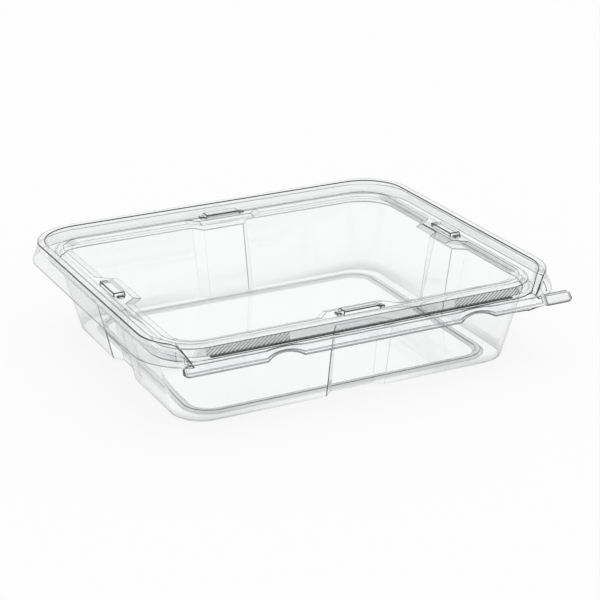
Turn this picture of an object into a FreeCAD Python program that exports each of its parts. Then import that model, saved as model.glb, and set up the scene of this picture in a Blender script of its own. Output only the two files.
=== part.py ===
import FreeCAD, Part
import math
import os

# Clear thermoformed clamshell pack, closed, standing on its floor.
# +X runs along the front side, towards the pull tab. +Y runs to the back. +Z is up.
# The origin is the middle of the floor's underside.
# Insets are measured inwards from the outer edge of the tray's rim, seen from above.

SIZES = [
    # The whole pack.
    ("pack_length", 190.0, "rim, left to right"),
    ("pack_width", 167.0, "rim, front to back"),
    ("pack_height", 41.1, "floor to crest"),
    ("skin", 0.5, "thickness of the formed sheet"),
    ("gap", 0.3, "room between pieces that part"),
    ("rim_corner", 25.5, "plan radius of the rim"),
    # Rim of the tray: a raised ridge with a skirt outside and a channel inside.
    ("crest_outer", 2.6, "inset of the crest's outer edge"),
    ("crest_inner", 6.1, "inset of the crest's inner edge"),
    ("channel_inset", 8.2, "inset of the ridge's inner foot"),
    ("rim_height", 8.9, "crest above the shelf"),
    ("waist_drop", 2.9, "crest to the foot of its upright outer wall"),
    ("flare_inset", 0.8, "inset of the bend low in the skirt"),
    ("flare_rise", 2.7, "that bend above the shelf"),
    ("front_opening", 157.0, "front left without a ridge, at the shelf"),
    ("end_lean", 5.8, "ridge's ends lean back by this much"),
    ("front_inset", 7.5, "inset of the tear line on the front"),
    # Tray.
    ("mouth_inset", 11.2, "inset of the tray wall at the shelf"),
    ("mouth_corner", 17.0, "plan radius of the mouth"),
    ("foot_inset", 17.8, "inset of the tray wall at the floor"),
    ("foot_corner", 14.8, "plan radius above the floor"),
    ("toe", 2.0, "height of the rounded floor edge"),
    ("rib_inset", 24.4, "inset of the stiffening rib round the floor"),
    ("rib_width", 4.2, "its width"),
    ("rib_rise", 1.2, "its height"),
    ("recess_width", 27.0, "recessed panel in each wall"),
    ("recess_side", 3.0, "its sides lean in by this much"),
    ("recess_low", 3.4, "its depth at the floor"),
    ("recess_high", 5.4, "its depth at the shelf"),
    # Lid.
    ("lid_inset", 9.7, "inset of the lid's top edge"),
    ("lid_flare", 0.5, "lid wall, outwards going down"),
    ("lid_corner", 16.5, "plan radius of the lid"),
    ("lid_drop", 3.3, "lid's rim below the crest"),
    ("lid_round", 1.8, "rounding of its top edge"),
    ("window_inset", 16.8, "inset of the sunk window"),
    ("window_corner", 11.0, "plan radius of the window"),
    ("window_sink", 0.9, "window below the lid's rim"),
    ("window_slope", 3.6, "width of the slope round the window"),
    ("jog_depth", 5.4, "window edge steps in at each lock"),
    ("jog_width", 26.0, "length of the step"),
    ("jog_run", 10.0, "length of the slant at each of its ends"),
    ("lock_length", 17.0, "snap lock along the side"),
    ("lock_width", 4.6, "snap lock across"),
    ("lock_height", 1.5, "snap lock above the lid's rim"),
    ("lock_inset", 14.4, "inset of the lock's middle line"),
    # Tear strip.
    ("strip_left", 82.0, "left end from the middle"),
    ("strip_right", 74.0, "end of the double part"),
    ("strip_slant", 7.0, "slant of that end"),
    ("tab_end", 96.4, "right end of the pull tab"),
    ("end_round", 1.9, "rounding of both ends"),
    ("strip_reach", 3.2, "outwards from the tear line"),
    ("strip_fall", 4.2, "down from the shelf"),
    ("strip_slit", 0.25, "room between the two leaves"),
    ("arch_width", 16.4, "notch in the fold"),
    ("arch_height", 2.9, "its height"),
    ("arch_left", -38.0, "middle of the left notch"),
    ("arch_right", 50.0, "middle of the right notch"),
]


def make_sheet(doc):
    sheet = doc.addObject("Spreadsheet::Sheet", "Sizes")
    for row, (alias, value, note) in enumerate(SIZES, start=1):
        sheet.set(f"A{row}", note)
        sheet.set(f"B{row}", str(value))
        sheet.setAlias(f"B{row}", alias)
    doc.recompute()
    return sheet


doc = FreeCAD.newDocument("clamshell_pack")
sheet = make_sheet(doc)


def size(alias):
    return float(sheet.get(alias))


V = FreeCAD.Vector
SKIN = size("skin")
GAP = size("gap")
HALF_X = size("pack_length") / 2
HALF_Y = size("pack_width") / 2
CREST_Z = size("pack_height")
SHELF_Z = CREST_Z - size("rim_height")
RIM_Z = CREST_Z - size("lid_drop")
WINDOW_Z = RIM_Z - size("window_sink")
FAR = size("pack_length")


def rounded_wire(half_x, half_y, radius, z):
    """Rounded rectangle round the Z axis."""
    edges = []
    x, y = half_x - radius, half_y - radius
    for turn, (cx, cy) in enumerate(((x, y), (-x, y), (-x, -y), (x, -y))):
        start = 90 * turn
        arc = Part.makeCircle(radius, V(cx, cy, z), V(0, 0, 1), start, start + 90)
        edges.append(arc)
    wire = []
    for here, after in zip(edges, edges[1:] + edges[:1]):
        wire.append(here)
        wire.append(Part.makeLine(here.Vertexes[-1].Point, after.Vertexes[0].Point))
    return Part.Wire(wire)


def loop(inset, z, radius=None):
    """Rounded rectangle at an inset from the rim's outer edge."""
    if radius is None:
        radius = size("rim_corner") - inset
    return rounded_wire(HALF_X - inset, HALF_Y - inset, radius, z)


def band(here, after):
    """Faces between two loops: a flat ring when they lie level, else a ruled wall."""
    if abs(here.BoundBox.ZMax - after.BoundBox.ZMax) > 1e-6:
        return Part.makeLoft([here, after], False, True).Faces
    big, small = sorted((here, after), key=lambda wire: -wire.Length)
    return Part.Face(big).cut(Part.Face(small)).Faces


def stack(loops):
    """Solid through a pile of loops, closed by flat faces below and above."""
    faces = [Part.Face(loops[0]), Part.Face(loops[-1])]
    for low, high in zip(loops, loops[1:]):
        faces += band(low, high)
    return closed(faces)


def ring(loops):
    """Solid whose section is the polygon the loops pass through."""
    faces = []
    for here, after in zip(loops, loops[1:] + loops[:1]):
        faces += band(here, after)
    return closed(faces)


def closed(faces):
    shell = Part.makeShell(faces)
    shell.sewShape()
    solid = Part.makeSolid(shell)
    if solid.Volume < 0:
        solid.reverse()
    return solid


def prism_x(points, x0, x1):
    """Polygon in the YZ plane, carried from x0 to x1."""
    corners = [V(x0, y, z) for y, z in points]
    face = Part.Face(Part.makePolygon(corners + corners[:1]))
    return face.extrude(V(x1 - x0, 0, 0))


def prism_z(points, z0, z1):
    """Polygon in the XY plane, carried from z0 to z1."""
    corners = [V(x, y, z0) for x, y in points]
    face = Part.Face(Part.makePolygon(corners + corners[:1]))
    return face.extrude(V(0, 0, z1 - z0))


def on_four_sides(make):
    """One shape for each side: make(half_across, half_along) draws the front one."""
    shapes = []
    for turn in range(4):
        across, along = (HALF_Y, HALF_X) if turn % 2 == 0 else (HALF_X, HALF_Y)
        shape = make(across, along)
        shape.rotate(V(0, 0, 0), V(0, 0, 1), 90 * turn)
        shapes.append(shape)
    return shapes


def show(name, shape):
    part = doc.addObject("Part::Feature", name)
    part.Label = name
    part.Shape = shape
    part.Placement = FreeCAD.Placement()
    return part


def tray_block(grow):
    """Filled tray; grow is 0 for the outside and the skin for the hollow."""
    toe = size("toe")
    foot = size("foot_inset") + grow
    mouth = size("mouth_inset") + grow
    corner = size("foot_corner") - grow
    top = SHELF_Z + (GAP if grow else 0)
    return stack([
        loop(foot + toe, grow, corner - toe),
        loop(foot + 0.35 * toe, grow + 0.3 * toe, corner - 0.35 * toe),
        loop(foot, grow + toe, corner),
        loop(mouth, top, size("mouth_corner") - grow),
    ])


def wall_recess(grow):
    """Wedges that sink the middle of each wall, with leaning sides."""
    half = size("recess_width") / 2 + grow
    inner = half - size("recess_side")
    top = SHELF_Z - SKIN + grow

    def outline(across, inset, depth, z):
        wall = -(across - inset)
        back = wall + depth + grow
        corners = [(-half, -across), (half, -across), (half, wall), (inner, back), (-inner, back), (-half, wall)]
        points = [V(x, y, z) for x, y in corners]
        return Part.makePolygon(points + points[:1])

    def wedge(across, along):
        low = outline(across, size("foot_inset"), size("recess_low"), -1.0)
        high = outline(across, size("mouth_inset"), size("recess_high"), top)
        return Part.makeLoft([low, high], True, True)

    return on_four_sides(wedge)


def floor_rib(grow):
    """Stiffening rib pressed up round the floor."""
    outer = size("rib_inset") - grow
    inner = outer + size("rib_width") + 2 * grow
    rise = size("rib_rise")
    corner = size("foot_corner") - size("toe")
    return ring([
        loop(outer, grow - 1.0, corner),
        loop(outer, grow, corner),
        loop(outer + rise, rise + grow, corner - rise),
        loop(inner - rise, rise + grow, corner - rise),
        loop(inner, grow, corner - rise),
        loop(inner, grow - 1.0, corner - rise),
    ])


def tray_skin():
    outside = tray_block(0).cut(wall_recess(0)).cut(floor_rib(0))
    hollow = tray_block(SKIN).cut(wall_recess(SKIN)).cut(floor_rib(SKIN))
    return outside.cut(hollow)


def shelf():
    mouth = size("mouth_inset")
    inner = mouth + SKIN
    outer = size("front_inset")
    corner = size("mouth_corner")
    plate = ring([
        loop(inner, SHELF_Z - SKIN, corner - SKIN),
        loop(outer, SHELF_Z - SKIN, size("rim_corner") - outer),
        loop(outer, SHELF_Z, size("rim_corner") - outer),
        loop(inner, SHELF_Z, corner - SKIN),
    ])
    return plate


def ridge_block(grow):
    """Filled ridge of the rim; grow is 0 for the outside and the skin for its hollow."""
    slope = 1.05 * grow
    bottom = SHELF_Z - grow * 2
    return ring([
        loop(size("channel_inset") - slope, bottom),
        loop(size("crest_inner") - slope, CREST_Z - grow),
        loop(size("crest_outer") + grow, CREST_Z - grow),
        loop(size("crest_outer") + grow, CREST_Z - size("waist_drop") - 0.3 * grow),
        loop(size("flare_inset") + slope, SHELF_Z + size("flare_rise") - 0.4 * grow),
        loop(slope, bottom),
    ])


def front_gate(grow):
    """What is cleared from the ridge along the front; its ends lean back."""
    lean = size("end_lean")
    rise = size("rim_height")
    half = size("front_opening") / 2 + 1.3 * grow
    below = 3 * SKIN
    foot = half - lean * below / rise
    low, high = SHELF_Z - below, CREST_Z + below
    head = half + lean * (rise + below) / rise
    corners = [V(-foot, 0, low), V(foot, 0, low), V(head, 0, high), V(-head, 0, high)]
    face = Part.Face(Part.makePolygon(corners + corners[:1]))
    gate = face.extrude(V(0, -HALF_Y, 0))
    gate.translate(V(0, -(HALF_Y - size("rim_corner")), 0))
    return gate


def ridge_skin():
    outside = ridge_block(0).cut(front_gate(0))
    hollow = ridge_block(SKIN).cut(front_gate(SKIN))
    return outside.cut(hollow)


def base_tray():
    shape = tray_skin().fuse([shelf(), ridge_skin()])
    return shape.removeSplitter()


def window_pocket(grow):
    """Sunk window of the lid, with a step in at each lock."""
    slope = size("window_slope")
    inset = size("window_inset")
    corner = size("window_corner")
    low = WINDOW_Z - grow
    high = RIM_Z + 1.0
    rise = high - low
    spread = slope * rise / size("window_sink")
    hole = stack([
        loop(inset - grow, low, corner),
        loop(inset - grow - spread, high, corner + spread),
    ])
    depth = size("jog_depth")

    def step(across, along):
        near = -(across - inset - depth + grow)
        half = size("jog_width") / 2 - grow
        wide = half + size("jog_run")
        section = [(-wide, -across), (wide, -across), (wide, near - depth),
                   (half, near), (-half, near), (-wide, near - depth)]
        return prism_z(section, low - 1.0, high + 1.0)

    return hole.cut(on_four_sides(step))


def lock_blocks(grow):
    """Snap lock buttons in the middle of the lid's sides."""
    length = size("lock_length") - 2 * grow
    width = size("lock_width") - 2 * grow
    top = RIM_Z + size("lock_height") - grow
    bottom = RIM_Z - SKIN - grow

    def button(across, along):
        y = -(across - size("lock_inset"))
        return Part.makeBox(length, width, top - bottom, V(-length / 2, y - width / 2, bottom))

    return on_four_sides(button)


def lid_block(grow):
    inset = size("lid_inset") + grow
    flare = size("lid_flare")
    corner = size("lid_corner") - grow
    bottom = SHELF_Z + GAP - grow
    top = RIM_Z - grow
    bend = size("lid_round")
    return stack([
        loop(inset - flare, bottom, corner + flare),
        loop(inset, top - bend, corner),
        loop(inset + 0.29 * bend, top - 0.29 * bend, corner - 0.29 * bend),
        loop(inset + bend, top, corner - bend),
    ])


def lid():
    outside = lid_block(0).fuse(lock_blocks(0)).cut(window_pocket(0))
    hollow = lid_block(SKIN).cut(window_pocket(SKIN)).fuse(lock_blocks(SKIN))
    shape = outside.cut(hollow)
    hinge_y = -(HALF_Y - size("front_inset") - GAP)
    half = size("front_opening") / 2 - size("lid_corner") / 2
    inner_y = -(HALF_Y - size("lid_inset"))
    low = SHELF_Z + GAP
    lip = prism_x([(hinge_y, low), (inner_y, low), (inner_y, low + SKIN), (hinge_y, low + SKIN)], -half, half)
    return shape.fuse(lip).removeSplitter()


def strip_section():
    """Two leaves folded along their lower edge, as a YZ polygon."""
    root = -(HALF_Y - size("front_inset"))
    reach = size("strip_reach")
    fall = size("strip_fall")
    length = math.hypot(reach, fall)
    along = V(0, -reach / length, -fall / length)
    up = V(0, -fall / length, reach / length)
    start = V(0, root, SHELF_Z - SKIN)
    end = start + along * length
    leaf = SKIN
    slit = size("strip_slit")

    def at_root(offset):
        return start + V(0, 0, offset / (reach / length))

    points = [
        start,
        end,
        end + along * 0.4 * leaf + up * 0.6 * leaf,
        end + along * 0.4 * leaf + up * (1.4 * leaf + slit),
        end + up * (2 * leaf + slit),
        at_root(2 * leaf + slit),
        at_root(leaf + slit),
        end - along * leaf + up * (leaf + slit),
        end - along * leaf + up * leaf,
        at_root(leaf),
    ]
    return [(p.y, p.z) for p in points]


def tear_strip():
    """Folded strip, double as far as its slanted end, then single as the pull tab."""
    section = strip_section()
    left = -size("strip_left")
    leaves = prism_x(section, left, size("tab_end"))
    front = leaves.common(strip_outline())
    inner = prism_x(section[6:] + section[:3], left - 1, FAR)
    return front.cut(inner.common(beyond_double())).cut(notches())


def strip_outline():
    """What the strip covers seen from the front: rounded left end and rounded tab."""
    low = SHELF_Z - 2 * size("strip_fall")
    high = SHELF_Z + GAP
    left = -size("strip_left")
    opening = size("front_opening") / 2 - GAP
    tab_top = SHELF_Z - GAP
    body = box_y(-opening, opening, low, high)
    band = box_y(left, size("tab_end"), SHELF_Z - SKIN - size("strip_fall"), tab_top)
    ends = [edge for edge in band.Edges if abs(edge.BoundBox.YLength - HALF_Y) < 1e-6]
    return body.fuse(band.makeFillet(size("end_round"), ends)).removeSplitter()


def box_y(x0, x1, z0, z1):
    """Box through the whole front, seen from the front as the given rectangle."""
    return Part.makeBox(x1 - x0, HALF_Y, z1 - z0, V(x0, -HALF_Y - 1, z0))


def beyond_double():
    """Right of the slanted end, where only the outer leaf goes on."""
    low = SHELF_Z - 2 * size("strip_fall")
    high = SHELF_Z + 4 * SKIN
    x = size("strip_right")
    slant = size("strip_slant")
    corners = [V(x, 0, low), V(FAR, 0, low), V(FAR, 0, high), V(x + slant, 0, high)]
    face = Part.Face(Part.makePolygon(corners + corners[:1]))
    return face.extrude(V(0, -HALF_Y, 0))


def notches():
    """Arched notches through the fold."""
    half = size("arch_width") / 2
    height = size("arch_height")
    radius = (half * half + height * height) / (2 * height)
    fold_z = SHELF_Z - SKIN - size("strip_fall")
    cuts = []
    for middle in (size("arch_left"), size("arch_right")):
        centre = V(middle, -FAR, fold_z + height - radius)
        cuts.append(Part.makeCylinder(radius, FAR, centre, V(0, 1, 0)))
    return cuts


show("base_tray", base_tray())
show("lid", lid())
show("tear_strip", tear_strip())
doc.recompute()

pieces = [part for part in doc.Objects if part.TypeId == "Part::Feature"]
for part in pieces:
    shape = part.Shape
    print(part.Label, part.State, len(shape.Solids), round(shape.Volume), shape.BoundBox)
    if "Invalid" in part.State or "Error" in part.State or not shape.isValid() or len(shape.Solids) != 1:
        raise RuntimeError(f"{part.Label} is not one valid solid")

os.makedirs("parts", exist_ok=True)
for part in pieces:
    part.Shape.exportStep(f"parts/{part.Label}.step")
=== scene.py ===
# %% [markdown]
# # A clear clamshell pack
# The pack is one thin sheet of clear PET, heated and drawn over a mould. The CAD frame holds its
# true sizes, with sharp edges. This file adds what the eye sees: rounded folds, the pressed
# patterns and the clear sheet itself, in a bright white studio.

import math

import bmesh
import bpy
from mathutils import Matrix, Vector


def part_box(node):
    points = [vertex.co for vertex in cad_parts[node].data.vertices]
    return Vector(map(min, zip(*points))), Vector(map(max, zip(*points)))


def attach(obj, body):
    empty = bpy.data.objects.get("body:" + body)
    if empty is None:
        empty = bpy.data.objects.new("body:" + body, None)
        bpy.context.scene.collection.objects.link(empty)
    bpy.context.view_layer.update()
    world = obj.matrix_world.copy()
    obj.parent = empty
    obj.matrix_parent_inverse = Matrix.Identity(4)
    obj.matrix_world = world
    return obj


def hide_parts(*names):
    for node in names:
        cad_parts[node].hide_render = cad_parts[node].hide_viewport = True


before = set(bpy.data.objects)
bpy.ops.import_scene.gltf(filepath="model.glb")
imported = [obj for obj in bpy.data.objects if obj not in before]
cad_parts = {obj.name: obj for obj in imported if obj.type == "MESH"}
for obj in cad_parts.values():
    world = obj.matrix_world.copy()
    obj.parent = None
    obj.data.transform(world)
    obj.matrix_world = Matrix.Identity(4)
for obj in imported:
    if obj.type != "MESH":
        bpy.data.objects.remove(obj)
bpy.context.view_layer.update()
scene = bpy.context.scene

# %% [markdown]
# The camera stands low and to the left of the front, far away with a long lens, so the sides of
# the pack stay nearly parallel. A Track To constraint could aim it. A matrix made from angles also
# takes the small roll of a hand-set tripod, and leaves nothing live in the scene.

# %% Place the camera
MM = 0.001
AIM = Vector((-15.85, -46.32, 37.1)) * MM
AZIMUTH, ELEVATION, ROLL = (math.radians(angle) for angle in (-25.94, 21.05, -0.78))
DISTANCE, SENSOR, LENS = 0.7722, 36, 112.44

back = Vector((math.sin(AZIMUTH) * math.cos(ELEVATION), -math.cos(AZIMUTH) * math.cos(ELEVATION),
               math.sin(ELEVATION)))
level = Vector((math.cos(AZIMUTH), math.sin(AZIMUTH), 0))
across = level * math.cos(ROLL) + back.cross(level) * math.sin(ROLL)

camera = bpy.data.objects.new("camera", bpy.data.cameras.new("camera"))
scene.collection.objects.link(camera)
camera.data.sensor_width = SENSOR
camera.data.lens = LENS
turned = Matrix((across, back.cross(across), back)).transposed().to_4x4()
camera.matrix_world = Matrix.Translation(AIM + back * DISTANCE) @ turned
scene.camera = camera
print("camera at", [round(value, 3) for value in camera.location])

# %% [markdown]
# Colours are written as sRGB hex, as in a paint program. The renderer reckons in linear light, so
# one function turns them. Another adds a shader node with its settings and its links, which reads
# better than three lines for each node. A third tells kinds of ray apart, so that a backdrop can
# look white without throwing more light on the pack.

# %% Colour and node helpers
def linear(code):
    """Linear RGBA of an sRGB hex colour."""
    channels = [int(code[i:i + 2], 16) / 255 for i in (1, 3, 5)]
    return [c / 12.92 if c <= 0.04045 else ((c + 0.055) / 1.055) ** 2.4 for c in channels] + [1.0]


def add_node(tree, kind, settings=None, links=None):
    """Add a node, set its properties and sockets, and link outputs to its sockets."""
    node = tree.nodes.new(kind)
    for key, value in (settings or {}).items():
        if isinstance(key, str) and hasattr(node, key):
            setattr(node, key, value)
        else:
            node.inputs[key].default_value = value
    for key, source in (links or {}).items():
        tree.links.new(source, node.inputs[key])
    return node


def looking(tree, *kinds):
    """1 for the given kinds of ray, 0 for the others."""
    path = add_node(tree, "ShaderNodeLightPath")
    total = path.outputs[kinds[0]]
    for kind in kinds[1:]:
        larger = add_node(tree, "ShaderNodeMath", {"operation": "MAXIMUM"},
                          {0: total, 1: path.outputs[kind]})
        total = larger.outputs[0]
    return total


# 444848 is the dark colour painted at folds as shade.
print("fold grey in linear light:", [round(value, 3) for value in linear("#444848")[:3]])

# %% [markdown]
# Clear plastic is seen by what it bends and mirrors. In an all-white room it would vanish, and
# lamps would only give it a few bright spots. So the studio is white all round, with a dark belt
# above the horizon and a dark ceiling, as a photographer hangs black card beside glass. The card
# is a colour ramp on the direction's height, and only rays bent or mirrored by the sheet see it.

# %% White studio
WHITE, BELT, CEILING = "#ffffff", "#181818", "#101010"
HEIGHTS = ((0.40, WHITE), (0.48, BELT), (0.58, BELT), (0.64, WHITE), (0.76, WHITE), (0.84, CEILING))

scene.view_settings.view_transform = "Standard"
world = bpy.data.worlds.new("studio")
scene.world = world
world.use_nodes = True
tree = world.node_tree
tree.nodes.clear()
direction = add_node(tree, "ShaderNodeTexCoord").outputs["Generated"]
height = add_node(tree, "ShaderNodeSeparateXYZ", links={"Vector": direction}).outputs["Z"]
card = add_node(tree, "ShaderNodeValToRGB", links={"Fac": height})
stops = card.color_ramp.elements
for index, (place, code) in enumerate(HEIGHTS):
    stop = stops[index] if index < 2 else stops.new(place)
    stop.position = place
    stop.color = linear(code)
bent = looking(tree, "Is Glossy Ray", "Is Transmission Ray")
room = add_node(tree, "ShaderNodeMix", {"data_type": "RGBA", 6: linear(WHITE)},
                {0: bent, 7: card.outputs["Color"]})
light = add_node(tree, "ShaderNodeBackground", {"Strength": 1.0}, {"Color": room.outputs[2]})
add_node(tree, "ShaderNodeOutputWorld", links={"Surface": light.outputs[0]})
print("studio heights:", len(stops))

# %% [markdown]
# The floor is a wide sheet of white paper. Matt paper alone comes out light grey, and brighter
# lamps would wash out the pack. So to the camera most of it glows white, and the rest is matt
# paper that still takes the pack's faint shadow.

# %% White paper floor
FLOOR_HALF, GLOW_SHARE, PAPER = 4.0, 0.85, "#f6f6f6"

bm = bmesh.new()
bmesh.ops.create_grid(bm, x_segments=1, y_segments=1, size=FLOOR_HALF)
floor_mesh = bpy.data.meshes.new("floor")
bm.to_mesh(floor_mesh)
bm.free()
floor = bpy.data.objects.new("floor", floor_mesh)
scene.collection.objects.link(floor)

paper = bpy.data.materials.new("white_paper_sweep")
paper.use_nodes = True
tree = paper.node_tree
tree.nodes.clear()
seen = looking(tree, "Is Camera Ray", "Is Glossy Ray", "Is Transmission Ray")
share = add_node(tree, "ShaderNodeMath", {"operation": "MULTIPLY", 1: GLOW_SHARE}, {0: seen})
matt = add_node(tree, "ShaderNodeBsdfDiffuse", {"Color": linear(PAPER)})
glow = add_node(tree, "ShaderNodeEmission", {"Color": linear(WHITE), "Strength": 1.0})
both = add_node(tree, "ShaderNodeMixShader",
                links={0: share.outputs[0], 1: matt.outputs[0], 2: glow.outputs[0]})
add_node(tree, "ShaderNodeOutputMaterial", links={"Surface": both.outputs[0]})
floor_mesh.materials.append(paper)
print("floor size in metres:", 2 * FLOOR_HALF)

# %% [markdown]
# Clear PET bends light a little more than window glass does, with an index of 1.57. A vacuum
# formed sheet is smooth on both faces. It looks grey where the eye looks along it, and at each
# fold, where the sheet turns and bends more of the dark surroundings into view. Thickness and
# bounces of light alone draw those lines too faintly at this size, so shade is painted into the
# sheet's colour: a ramp paints the grazed places darker, and the points of the mesh carry an
# attribute that says how much shade is painted at each fold. Shadow rays pass straight through,
# because a clear pack hardly shades.

# %% Clear sheet
# The second and third colours are painted shade: the dark of folds and of grazed places.
CLEAR, FOLD_SHADE, GRAZED_SHADE, SHADE = "#fcfdfd", "#444848", "#8c9090", "#f6f6f6"
PET_INDEX, PET_ROUGHNESS = 1.57, 0.02
GRAZE_START, GRAZE_END = 0.68, 0.97


def clear_sheet(name, pressed=None):
    """Clear sheet material with painted shade. A pressed pattern adds grooves and its own painted
    shade.
    """
    material = bpy.data.materials.new(name)
    material.use_nodes = True
    tree = material.node_tree
    shader = tree.nodes["Principled BSDF"]
    shader.inputs["Transmission Weight"].default_value = 1.0
    shader.inputs["Roughness"].default_value = PET_ROUGHNESS
    shader.inputs["IOR"].default_value = PET_INDEX
    # Painted shade: the ramp darkens the colour where the eye grazes the sheet.
    facing = add_node(tree, "ShaderNodeLayerWeight", {"Blend": 0.5})
    grazing_shade = add_node(tree, "ShaderNodeValToRGB", links={"Fac": facing.outputs["Facing"]})
    stops = grazing_shade.color_ramp.elements
    stops[0].position, stops[0].color = GRAZE_START, linear(CLEAR)
    stops[1].position, stops[1].color = GRAZE_END, linear(GRAZED_SHADE)
    # Painted shade at the folds, carried by the mesh's points.
    grey = add_node(tree, "ShaderNodeAttribute", {"attribute_name": "fold_shade"}).outputs["Fac"]
    if pressed:
        grey = pressed(tree, shader, grey)
    colour = add_node(tree, "ShaderNodeMix", {"data_type": "RGBA", 7: linear(FOLD_SHADE)},
                      {0: grey, 6: grazing_shade.outputs["Color"]})
    tree.links.new(colour.outputs[2], shader.inputs["Base Color"])
    through = add_node(tree, "ShaderNodeBsdfTransparent", {"Color": linear(SHADE)})
    mix = add_node(tree, "ShaderNodeMixShader", links={
        0: looking(tree, "Is Shadow Ray"), 1: shader.outputs[0], 2: through.outputs[0]})
    tree.links.new(mix.outputs[0], tree.nodes["Material Output"].inputs["Surface"])
    return material


pet = clear_sheet("pet_clear_thermoformed")
print("clear sheet nodes:", len(pet.node_tree.nodes))

# %% [markdown]
# The lid's front wall looks grey where it bends dark surroundings into view, so shade is painted
# on it, darker on two patches that are knurled for the fingers. The tear line along the wall's foot
# is pressed thin and shows as an almost black line, which is painted shade too. The grooves could
# be cut into the mesh, but they are too fine for it, so a wave texture makes them as bump. The real
# ones are about 0.5 mm apart. They are drawn 1.1 mm apart, because finer ones melt into a plain
# grey in the picture. Each zone of the wall is a box in millimetres.

# %% Zones of the front wall
# Shares of painted shade for the whole wall, the knurled patches and the tear line.
WALL_SHADE, PATCH_SHADE, TEAR_SHADE = 0.3, 0.75, 1.0
ZONES = (  # centre, half size, grey, knurled
    ((0, -74, 34.4), (90, 1.2, 1.7), WALL_SHADE, False),
    ((-52, -74, 34.4), (18, 1.2, 1.7), PATCH_SHADE, True),
    ((59.5, -74, 34.4), (17.5, 1.2, 1.7), PATCH_SHADE, True),
    ((0, -75.2, 32.8), (90, 0.7, 0.5), TEAR_SHADE, False))
print("zones of the front wall:", len(ZONES))

# %% Knurled clear sheet
GROOVE_PITCH, GROOVE_LEAN, GROOVE_DEPTH = 1.1, 1.4, 0.12
WAVE_UNIT = 2 * math.pi / 10


def front_wall(tree, shader, grey):
    """Press the grooves into the zones that have them, and return how much shade is painted at each
    place.
    """
    place = add_node(tree, "ShaderNodeTexCoord").outputs["Object"]
    axes = add_node(tree, "ShaderNodeSeparateXYZ", links={"Vector": place}).outputs
    slanted = add_node(tree, "ShaderNodeMapping", {"Scale": (1, 0, -GROOVE_LEAN)}, {"Vector": place})
    pitch_along = GROOVE_PITCH * MM * math.hypot(1, GROOVE_LEAN)
    wave = add_node(tree, "ShaderNodeTexWave", {
        "wave_type": "BANDS", "bands_direction": "DIAGONAL", "Scale": WAVE_UNIT / pitch_along},
        {"Vector": slanted.outputs[0]}).outputs["Fac"]
    grooves = None
    for centre, half, shade, knurled in ZONES:
        inside = None
        for axis, middle, reach in zip("XYZ", centre, half):
            near = add_node(tree, "ShaderNodeMath", {
                "operation": "COMPARE", 1: middle * MM, 2: reach * MM}, {0: axes[axis]}).outputs[0]
            inside = near if inside is None else add_node(
                tree, "ShaderNodeMath", {"operation": "MULTIPLY"}, {0: inside, 1: near}).outputs[0]
        if knurled:
            inside = add_node(tree, "ShaderNodeMath", {"operation": "MULTIPLY"},
                              {0: inside, 1: wave}).outputs[0]
            grooves = inside if grooves is None else add_node(
                tree, "ShaderNodeMath", {"operation": "MAXIMUM"}, {0: grooves, 1: inside}).outputs[0]
        # Each zone's painted shade.
        tone = add_node(tree, "ShaderNodeMath", {"operation": "MULTIPLY", 1: shade}, {0: inside})
        grey = add_node(tree, "ShaderNodeMath", {"operation": "MAXIMUM"},
                        {0: grey, 1: tone.outputs[0]}).outputs[0]
    bump = add_node(tree, "ShaderNodeBump", {"Strength": 1.0, "Distance": GROOVE_DEPTH * MM},
                    {"Height": grooves})
    tree.links.new(bump.outputs["Normal"], shader.inputs["Normal"])
    return grey


pet_knurled = clear_sheet("pet_clear_knurled_grip", front_wall)
print("knurled sheet nodes:", len(pet_knurled.node_tree.nodes))

# %% [markdown]
# The tray and the lid are rounded rectangles, one above the other. A loft through curves could
# join them, but bridged outlines keep every ring of points at a known height. An outline is told
# by its inset from the rim's outer edge, its height and its corner radius, all in millimetres. It
# starts as one face with four corners, and the vertex bevel rounds them.

# %% Rounded rectangles
HALF_X, HALF_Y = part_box("base_tray")[1][:2]
CORNER_STEPS, SPREAD = 12, 20


def outline(bm, inset, z, corner):
    """Face with rounded corners."""
    x, y = HALF_X - inset * MM, HALF_Y - inset * MM
    older = set(bm.faces)
    corners = [bm.verts.new((a * x, b * y, z * MM)) for a, b in ((1, 1), (-1, 1), (-1, -1), (1, -1))]
    bm.faces.new(corners)
    bmesh.ops.bevel(bm, geom=corners, offset=corner * MM, offset_type="OFFSET", affect="VERTICES",
                    segments=CORNER_STEPS, profile=0.5, material=-1)
    return next(face for face in bm.faces if face not in older)


def stack(bm, rows):
    """Bridge rounded rectangles one after the other, and keep the first as a face. Two outlines
    at one height can be joined with a twist, so they are made far apart and then let down."""
    bands, lifted, last = [], [], []
    for index, (inset, z, corner) in enumerate(rows):
        lift = index * SPREAD
        face = outline(bm, inset, z + lift, corner)
        edges = list(face.edges)
        lifted.append((list(face.verts), lift))
        if last:
            bmesh.ops.delete(bm, geom=[face], context="FACES_ONLY")
            bands.append(bmesh.ops.bridge_loops(bm, edges=last + edges)["faces"])
        last = edges
    for verts, lift in lifted:
        bmesh.ops.translate(bm, verts=verts, vec=(0, 0, -lift * MM))
    return bands


print("half sizes in mm:", round(HALF_X / MM, 2), round(HALF_Y / MM, 2))

# %% [markdown]
# Panels and locks sit in the middle of each side, so the same code runs four times, turned to
# each side in turn. It needs the faces of that side, and a knife that cuts only those.

# %% Sides and cuts
UP = Vector((0, 0, 1))
SIDES = ((Vector((0, -1, 0)), HALF_Y), (Vector((1, 0, 0)), HALF_X),
         (Vector((0, 1, 0)), HALF_Y), (Vector((-1, 0, 0)), HALF_X))
NEAR, HAIR = 0.01 * MM, 0.0001 * MM
INNER = 20 * MM


def middle_of(face):
    return face.calc_center_median()


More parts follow.
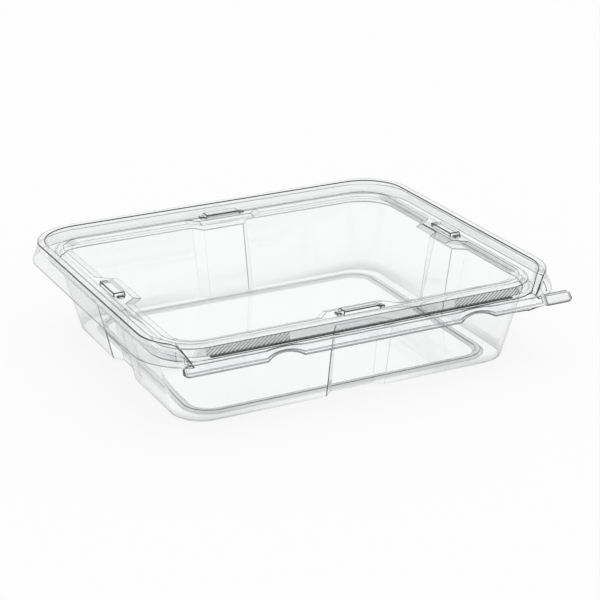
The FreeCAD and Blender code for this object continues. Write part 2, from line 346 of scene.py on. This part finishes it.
def side_faces(faces, outward):
    """Faces of the straight run on one side."""
    along = UP.cross(outward)
    there = [face for face in faces if face.is_valid and middle_of(face) @ outward > INNER]
    return [face for face in there if abs(middle_of(face) @ along) < NEAR]


def cut(bm, faces, point, normal):
    """Cut faces by a plane, and return what they became."""
    parts = set(faces)
    for face in faces:
        parts.update(face.edges, face.verts)
    made = bmesh.ops.bisect_plane(bm, geom=list(parts), dist=HAIR, plane_co=point, plane_no=normal)
    return [item for item in made["geom"] if isinstance(item, bmesh.types.BMFace)]


print("sides:", len(SIDES))

# %% [markdown]
# The tray is built as its under side, from the floor out to the rim, and gets its thickness last.
# A solid tray hollowed out would work too, but a sheet with one thickness is what the real process
# gives. The floor carries a low stiffening rib, a toe with a small radius leads into the leaning
# wall, and the shelf carries the ridge that guards the lid's edge, with its stepped skirt.

# %% Tray: outlines from the floor to the rim
FOOT, TOE, TOE_CORNER, TOE_TURN = 17.8, 2.0, 14.8, 22.5
MOUTH, SHELF, CREST, SKIRT_TOP, SKIRT_FOOT = 11.2, 31.7, 40.6, 38.1, 32.2

rib = [(28.6, 0, 9.0), (27.4, 1.2, 10.0), (25.6, 1.2, 11.8), (24.4, 0, 12.8)]
toe = []
for step in range(4):
    turn = math.radians(TOE_TURN * step)
    outwards = TOE * (1 - math.sin(turn))
    toe.append((FOOT + outwards, TOE * (1 - math.cos(turn)), TOE_CORNER - outwards))
wall = [(17.12, 5.0, 14.94), (MOUTH, SHELF, 17.0), (7.7, SHELF, 17.8)]
guard = [(5.6, CREST, 19.9), (3.1, CREST, 22.4), (3.1, SKIRT_TOP, 22.4), (1.3, 34.6, 24.2),
         (0.7, 32.8, 24.8), (0.5, SKIRT_FOOT, 25.0)]

tray = bmesh.new()
bands = stack(tray, rib + toe + wall + guard)
ridge = [face for band in bands[-len(guard):] for face in band]
print("tray bands:", len(bands), "faces:", len(tray.faces))

# %% [markdown]
# A recessed panel stiffens the middle of each wall. A boolean would leave slivers in so thin a
# sheet. Instead four cuts mark the panel's edges, and the strip between the inner two moves
# inwards, more at the shelf than at the floor.

# %% Tray: recessed panels
PANEL_HALF, PANEL_INNER, PANEL_LOW, PANEL_HIGH = 13.5, 9.8, 3.4, 5.4

wall_faces = [face for band in bands[len(rib) - 1:-len(guard)] for face in band]
for outward, reach in SIDES:
    along = UP.cross(outward)
    faces = side_faces(wall_faces, outward)
    for place in (-PANEL_HALF, -PANEL_INNER, PANEL_INNER, PANEL_HALF):
        faces = cut(tray, faces, along * place * MM, along)
    for vert in {vert for face in faces for vert in face.verts}:
        inset = reach - vert.co @ outward
        on_panel = abs(vert.co @ along) < (PANEL_INNER + 0.1) * MM
        if on_panel and MOUTH * MM - NEAR < inset < (FOOT + TOE) * MM + NEAR:
            depth = PANEL_LOW + (PANEL_HIGH - PANEL_LOW) * vert.co.z / (SHELF * MM)
            vert.co -= outward * depth * MM
print("faces with panels:", len(tray.faces))

# %% [markdown]
# Along the front the ridge is left out, because the lid is joined there. At both ends it falls to
# the shelf in a soft ramp, which the lid can swing past. Cutting the ends off with a plane would
# leave tiny edges that spoil the rounding. So the corner's points slide along their arc and sink.

# %% Tray: ridge ends slide and sink
END_X, RIM_CORNER, END_STEP = 78.5, 25.5, 3
RAMP = (0.1, 0.58, 0.93, 1.0)
SQUARE = math.pi / 2
ARC_X, ARC_Y = HALF_X - RIM_CORNER * MM, HALF_Y - RIM_CORNER * MM

for vert in {vert for face in ridge for vert in face.verts}:
    x, y = abs(vert.co.x) - ARC_X, -vert.co.y - ARC_Y
    if x < -NEAR or y < -NEAR:
        continue
    radius = math.hypot(x, y)
    step = round(math.atan2(x, y) / SQUARE * CORNER_STEPS)
    last = math.asin((END_X * MM - ARC_X) / radius)
    if step < END_STEP:
        turn = last * step / END_STEP
    else:
        turn = last + (SQUARE - last) * (step - END_STEP) / (CORNER_STEPS - END_STEP)
        share = RAMP[min(step - END_STEP, len(RAMP) - 1)]
        if vert.co.z > SKIRT_FOOT * MM:
            vert.co.z = (SKIRT_FOOT + (vert.co.z / MM - SKIRT_FOOT) * share) * MM
    vert.co.x = math.copysign(ARC_X + radius * math.sin(turn), vert.co.x)
    vert.co.y = -(ARC_Y + radius * math.cos(turn))
print("ridge ends at x in mm:", END_X)

# %% Tray: open front
front_faces = [face for face in ridge
               if middle_of(face).y < -ARC_Y and abs(middle_of(face).x) < END_X * MM]
bmesh.ops.delete(tray, geom=front_faces, context="FACES")
for side in (-1, 1):
    end = [edge for edge in tray.edges if edge.is_boundary and all(
        abs(vert.co.x * side - END_X * MM) < NEAR and vert.co.y < -ARC_Y for vert in edge.verts)]
    made = bmesh.ops.contextual_create(tray, geom=end)
    print("ridge end closed with", len(end), "edges:", len(made["faces"]))

# %% [markdown]
# Hot sheet never takes a sharp corner, so every crease is rounded. A Bevel modifier would round
# them too, but the operator also says which faces it made. Points inside a rounding get the
# attribute of painted shade that the material reads, and a shading function of each piece can
# change it by place.

# %% Rounded folds
FOLD_STEPS, FOLD_EDGE_SHADE = 4, 0.9


def round_folds(bm, radius, least, paint_shade):
    """Round each crease sharper than an angle, and mark how much shade is painted at each point."""
    bmesh.ops.recalc_face_normals(bm, faces=bm.faces)
    sharp = math.radians(least)
    creases = [edge for edge in bm.edges if edge.is_manifold and edge.calc_face_angle() > sharp]
    made = bmesh.ops.bevel(bm, geom=creases, offset=radius * MM, offset_type="OFFSET", affect="EDGES",
                           segments=FOLD_STEPS, profile=0.5, material=-1, clamp_overlap=True)
    rounded = set(made["faces"])
    # The points of each rounding get painted shade, a little less at its edges.
    fold_shade = bm.verts.layers.float.new("fold_shade")
    inner = {vert for face in rounded for vert in face.verts
             if all(near in rounded for near in vert.link_faces)}
    for vert in bm.verts:
        if vert in inner:
            deep = all(edge.other_vert(vert) in inner for edge in vert.link_edges)
            vert[fold_shade] = 1.0 if deep else FOLD_EDGE_SHADE
        vert[fold_shade] = paint_shade(vert.co / MM, vert[fold_shade])


print("steps in each rounding:", FOLD_STEPS)

# %% [markdown]
# The sheet is 0.5 mm thick everywhere. A Solidify modifier would guess the direction from the
# normals, so the normals are turned to the under side first, and the operator then grows the
# sheet upwards, to the tray's and the lid's upper faces.

# %% Thickness
SKIN = 0.5 * MM


def thicken(bm):
    """Merge doubles, turn all faces to the under side, and give the sheet its thickness."""
    bmesh.ops.remove_doubles(bm, verts=bm.verts, dist=0.001 * MM)
    bmesh.ops.recalc_face_normals(bm, faces=bm.faces)
    bm.normal_update()
    top = max(bm.faces, key=lambda face: middle_of(face).z)
    if top.normal.z > 0:
        bmesh.ops.reverse_faces(bm, faces=bm.faces)
        bm.normal_update()
    bmesh.ops.solidify(bm, geom=bm.faces[:], thickness=SKIN)
    bmesh.ops.recalc_face_normals(bm, faces=bm.faces)


print("sheet in mm:", SKIN / MM)

# %% [markdown]
# All three pieces are finished alike. Each becomes an object at the origin, with its place in its
# mesh, rides on its CAD body and stands in for its CAD node. Weighted normals keep flat faces
# looking flat between the roundings, where plain smooth shading would bend the light.

# %% Finished sheet
SMOOTH_BELOW = 40


def finish_sheet(bm, radius, least, name, body, node, material, paint_shade):
    """Round and thicken a sheet, and let it ride on a body in place of a CAD node."""
    round_folds(bm, radius, least, paint_shade)
    thicken(bm)
    heights = [vert.co.z / MM for vert in bm.verts]
    mesh = bpy.data.meshes.new(name)
    bm.to_mesh(mesh)
    bm.free()
    mesh.shade_smooth()
    mesh.set_sharp_from_angle(angle=math.radians(SMOOTH_BELOW))
    mesh.materials.append(material)
    piece = bpy.data.objects.new(name, mesh)
    scene.collection.objects.link(piece)
    piece.modifiers.new("even_light", "WEIGHTED_NORMAL").keep_sharp = True
    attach(piece, body)
    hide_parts(node)
    print(name, "faces:", len(mesh.polygons),
          "heights in mm:", round(min(heights), 2), round(max(heights), 2))


print("edges stay sharp above", SMOOTH_BELOW, "degrees")

# %% [markdown]
# The tray's folds have a radius of 0.7 mm. The skirt and the toe are drawn the furthest, and
# painted shade greys them all over. The skirt's cut edge gets dark painted shade, as the edge of a
# clear sheet shows dark. The shade painted at the panels' creases and the ends of the ridge is
# softer.

# %% Finished tray
# Painted shade on the skirt's cut edge, the skirt and the toe, and how far it softens at the panels
# and the ridge's ends.
CUT_EDGE_SHADE, SKIRT_SHADE, TOE_SHADE = 0.8, 0.1, 0.3
PANEL_SOFT, END_SOFT = 0.2, 0.25
FRONT_EDGE = -HALF_Y / MM


# Painted shade at each point of the tray.
def tray_shade(spot, fold_shade):
    if SKIRT_FOOT - 0.1 < spot.z < SKIRT_TOP + 0.1 and spot.y > FRONT_EDGE + 5:
        return CUT_EDGE_SHADE if spot.z < SKIRT_FOOT + 0.1 else max(fold_shade, SKIRT_SHADE)
    if 0.01 < spot.z < TOE + 0.5:
        fold_shade = max(fold_shade, TOE_SHADE)
    if 9 < min(abs(spot.x), abs(spot.y)) < 15 and spot.z < SHELF + 0.3:
        fold_shade *= PANEL_SOFT
    if spot.y < FRONT_EDGE + 16 and spot.z > SKIRT_FOOT + 0.3:
        fold_shade *= END_SOFT
    return fold_shade


finish_sheet(tray, 0.7, 18, "tray_sheet", "tray", "base_tray", pet, tray_shade)

# %% [markdown]
# The lid is a shallow cap that sits inside the ridge. Its rim is flat with a rounded edge, and its
# window is sunk a little, so that packs stack without sliding. It is made from outlines, as the
# tray is. The rounded edge gets its own outlines, because it is wider than the folds.

# %% Lid: outlines from the window to the foot
WINDOW, WINDOW_Z, SLOPE_TOP, RIM_Z = 16.8, 36.4, 13.2, 37.3
WALL_TOP, WALL_CORNER, WALL_FOOT, FOOT_Z = 10.2, 16.0, 9.7, 32.5
EDGE_ROUND, EDGE_STEPS = 1.8, 9

edge_rows = []
for step in range(EDGE_STEPS + 1):
    turn = SQUARE * step / EDGE_STEPS
    inwards = EDGE_ROUND * (1 - math.cos(turn))
    z = RIM_Z - EDGE_ROUND * (1 - math.sin(turn))
    edge_rows.append((WALL_TOP + inwards, z, WALL_CORNER - inwards))
edge_line = edge_rows[2][1]
edge_rows.reverse()

lid = bmesh.new()
window_rows = [(WINDOW, WINDOW_Z, 11.0), (SLOPE_TOP, RIM_Z, 14.6)]
bands = stack(lid, window_rows + edge_rows + [(WALL_FOOT, FOOT_Z, 16.5)])
print("lid bands:", len(bands))

# %% [markdown]
# The window steps in round the lock in the middle of each side, so the rim is wide enough there to
# carry it. The step is made as the tray's panels are, with four cuts and one move.

# %% Lid: steps round the locks
JOG_HALF, JOG_RUN, JOG_DEPTH = 13.0, 5.0, 5.4

for outward, reach in SIDES:
    along = UP.cross(outward)
    faces = side_faces(bands[0] + bands[1], outward)
    for place in (-JOG_HALF - JOG_RUN, -JOG_HALF, JOG_HALF, JOG_HALF + JOG_RUN):
        faces = cut(lid, faces, along * place * MM, along)
    for vert in {vert for face in faces for vert in face.verts}:
        inset = reach - vert.co @ outward
        if abs(vert.co @ along) < (JOG_HALF + 0.1) * MM and inset > (SLOPE_TOP - 0.1) * MM:
            vert.co -= outward * JOG_DEPTH * MM
print("faces with steps:", len(lid.faces))

# %% [markdown]
# Each snap lock is a low bar pressed up out of the rim, with a small lug at either end. Separate
# blocks laid on the rim would leave seams that a formed sheet never has. So four cuts frame each
# form, and the face between the cuts is extruded upwards and drawn in a little, as the mould's
# draft does.

# %% Lid: snap locks
LOCKS = (  # place along the side, half length, outer inset, inner inset, rise
    (0, 8.5, 12.1, 16.7, 1.5),
    (-9.9, 0.7, 13.2, 15.6, 0.7),
    (9.9, 0.7, 13.2, 15.6, 0.7))
DRAFT, LOCK_REACH = 0.93, 30 * MM
FLAT = Vector((1, 1, 0))


def on_rim(face, outward, along):
    middle = middle_of(face)
    level = abs(middle.z - RIM_Z * MM) < NEAR / 10
    return level and abs(middle @ along) < LOCK_REACH and middle @ outward > INNER


for outward, reach in SIDES:
    along = UP.cross(outward)
    for place, half, outer, inner, rise in LOCKS:
        faces = [face for face in lid.faces if on_rim(face, outward, along)]
        for end in (place - half, place + half):
            faces = cut(lid, faces, along * end * MM, along)
        for inset in (outer, inner):
            faces = cut(lid, faces, outward * (reach - inset * MM), outward)
        centre = outward * (reach - (outer + inner) / 2 * MM) + along * place * MM
        pad = min(faces, key=lambda face: ((middle_of(face) - centre) * FLAT).length)
        raised = bmesh.ops.extrude_face_region(lid, geom=[pad])["geom"]
        bmesh.ops.delete(lid, geom=[pad], context="FACES")
        for vert in (item for item in raised if isinstance(item, bmesh.types.BMVert)):
            vert.co.x = centre.x + (vert.co.x - centre.x) * DRAFT
            vert.co.y = centre.y + (vert.co.y - centre.y) * DRAFT
            vert.co.z += rise * MM
print("lid faces:", len(lid.faces))

# %% [markdown]
# Along the front the lid's wall turns out into a narrow lip, which the tear line joins to the
# strip. One extruded edge makes it.

# %% Finished lid
LIP = 7.8

low = [edge for edge in lid.edges if edge.is_boundary and all(
    abs(vert.co.y + HALF_Y - WALL_FOOT * MM) < NEAR for vert in edge.verts)]
lip = bmesh.ops.extrude_edge_only(lid, edges=low)["geom"]
for vert in (item for item in lip if isinstance(item, bmesh.types.BMVert)):
    vert.co.y = -HALF_Y + LIP * MM
print("lip edges:", len(low))


def lid_shade(spot, fold_shade):
    """The line where the lid's edge starts to round gets the darkest painted shade too."""
    return 1.0 if abs(spot.z - edge_line) < 0.01 else fold_shade


finish_sheet(lid, 0.45, 12, "lid_sheet", "cover", "lid", pet_knurled, lid_shade)

# %% [markdown]
# The tear strip is the same sheet, folded double along its lower edge. Two plates would leave the
# fold open, so one flat grid is bent instead: its columns run along the strip, and its rows go
# down the outer leaf, round the fold and up the inner leaf. The outer leaf has a low bead along
# its middle, and two arched notches for a finger. The single leaf at its right end is the tab.

# %% Tear strip: columns along it
STRIP_LEFT, STRIP_RIGHT, TAB_START, DOUBLE_END = -81.7, 95.9, 82.8, 74.0
NOTCHES, NOTCH_HALF, NOTCH_RISE = (-38.0, 50.0), 8.2, 2.9
NOTCH_RADIUS = (NOTCH_HALF ** 2 + NOTCH_RISE ** 2) / (2 * NOTCH_RISE)
END_ROUND, PARTS = 2.4, 6

ends = [END_ROUND * (1 - math.cos(SQUARE * step / PARTS)) for step in range(1, PARTS + 1)]
columns = [STRIP_LEFT + step for step in ends] + [STRIP_RIGHT - step for step in ends]
for middle in NOTCHES:
    columns += [middle + NOTCH_HALF * step / PARTS for step in range(-PARTS, PARTS + 1)]
columns += [TAB_START + step for step in (-1.5, -1.0, 1.0, 1.5)] + [DOUBLE_END, 0.0]
columns.sort()
print("strip columns:", len(columns))

# %% Tear strip: rows round the fold
REACH, FALL, LEAF_GAP, BEAD = 3.2, 4.2, 0.25, 0.3
SLOPE = math.hypot(REACH, FALL)
FOLD_START, FOLD_MIDDLE_ROW = SLOPE - 0.42, 7

strip_rows = [(0.25, 0), (0.95, 0), (1.3, BEAD), (3.7, BEAD), (4.05, 0)]
for step in range(5):
    turn = SQUARE * (1 - step / 2)
    down = FOLD_START + LEAF_GAP / 2 * math.cos(turn)
    strip_rows.append((down, LEAF_GAP / 2 * (math.sin(turn) - 1)))
strip_rows += [(0.25, -LEAF_GAP)]
print("strip rows:", len(strip_rows))

# %% Tear strip: shape
SLANT, BEAD_STOP, TAB_DEEPER, INNER_LEAF = 7.0, 1.2, 1.1, -0.06
downward = Vector((0, -REACH, -FALL)) / SLOPE
lifted = Vector((0, -FALL, REACH)) / SLOPE
root = Vector((0, FRONT_EDGE + 7.5, SHELF)) + lifted * 0.75

strip = bmesh.new()
last_column, last_row = len(columns) - 1, len(strip_rows) - 1
bmesh.ops.create_grid(strip, x_segments=last_column, y_segments=last_row, size=1)
for vert in strip.verts:
    x = columns[round((vert.co.x + 1) / 2 * last_column)]
    row = round((vert.co.y + 1) / 2 * last_row)
    down, rise = strip_rows[row]
    near_end = min(x - STRIP_LEFT, STRIP_RIGHT - x)
    if rise > 0 and (near_end < BEAD_STOP or abs(x - TAB_START) < BEAD_STOP):
        rise = 0
    for middle in NOTCHES:
        if abs(x - middle) < NOTCH_HALF:
            arch = math.sqrt(NOTCH_RADIUS ** 2 - (x - middle) ** 2) - NOTCH_RADIUS + NOTCH_RISE
            down *= 1 - arch / SLOPE
    if near_end < END_ROUND:
        down = SLOPE / 2 + (down - SLOPE / 2) * math.sqrt(1 - (1 - near_end / END_ROUND) ** 2)
    if x > TAB_START:
        down *= TAB_DEEPER
    if x == DOUBLE_END and row >= FOLD_MIDDLE_ROW:
        x += SLANT * (1 - down / SLOPE)
    vert.co = (Vector((x, 0, 0)) + root + downward * down + lifted * rise) * MM
print("strip faces:", len(strip.faces))

# %% [markdown]
# Beyond its slanted end the inner leaf is deleted, so the tab is single. The cut edge of the tab
# and of the strip's ends gets dark painted shade, the tab a little painted shade, and its root a
# dark painted line.

# %% Finished tear strip
# Painted shade on the tab and along its root.
TAB_SHADE, TAB_ROOT_SHADE = 0.1, 0.8

single = [face for face in strip.faces if middle_of(face).x > DOUBLE_END * MM
          and sum((vert.co / MM - root) @ lifted < INNER_LEAF for vert in face.verts) > 1]
bmesh.ops.delete(strip, geom=single, context="FACES")


# Painted shade at each point of the strip.
def strip_shade(spot, fold_shade):
    near_end = min(spot.x - STRIP_LEFT, STRIP_RIGHT - spot.x)
    down = (spot - root) @ downward
    if near_end < 0.4 or spot.x > TAB_START and (down < 0.4 or down > FOLD_START):
        return 1.0
    if 0.9 < spot.x - TAB_START < 1.1:
        return TAB_ROOT_SHADE
    return TAB_SHADE if spot.x > TAB_START + BEAD_STOP else fold_shade


finish_sheet(strip, 0.12, 18, "strip_sheet", "tray", "tear_strip", pet, strip_shade)
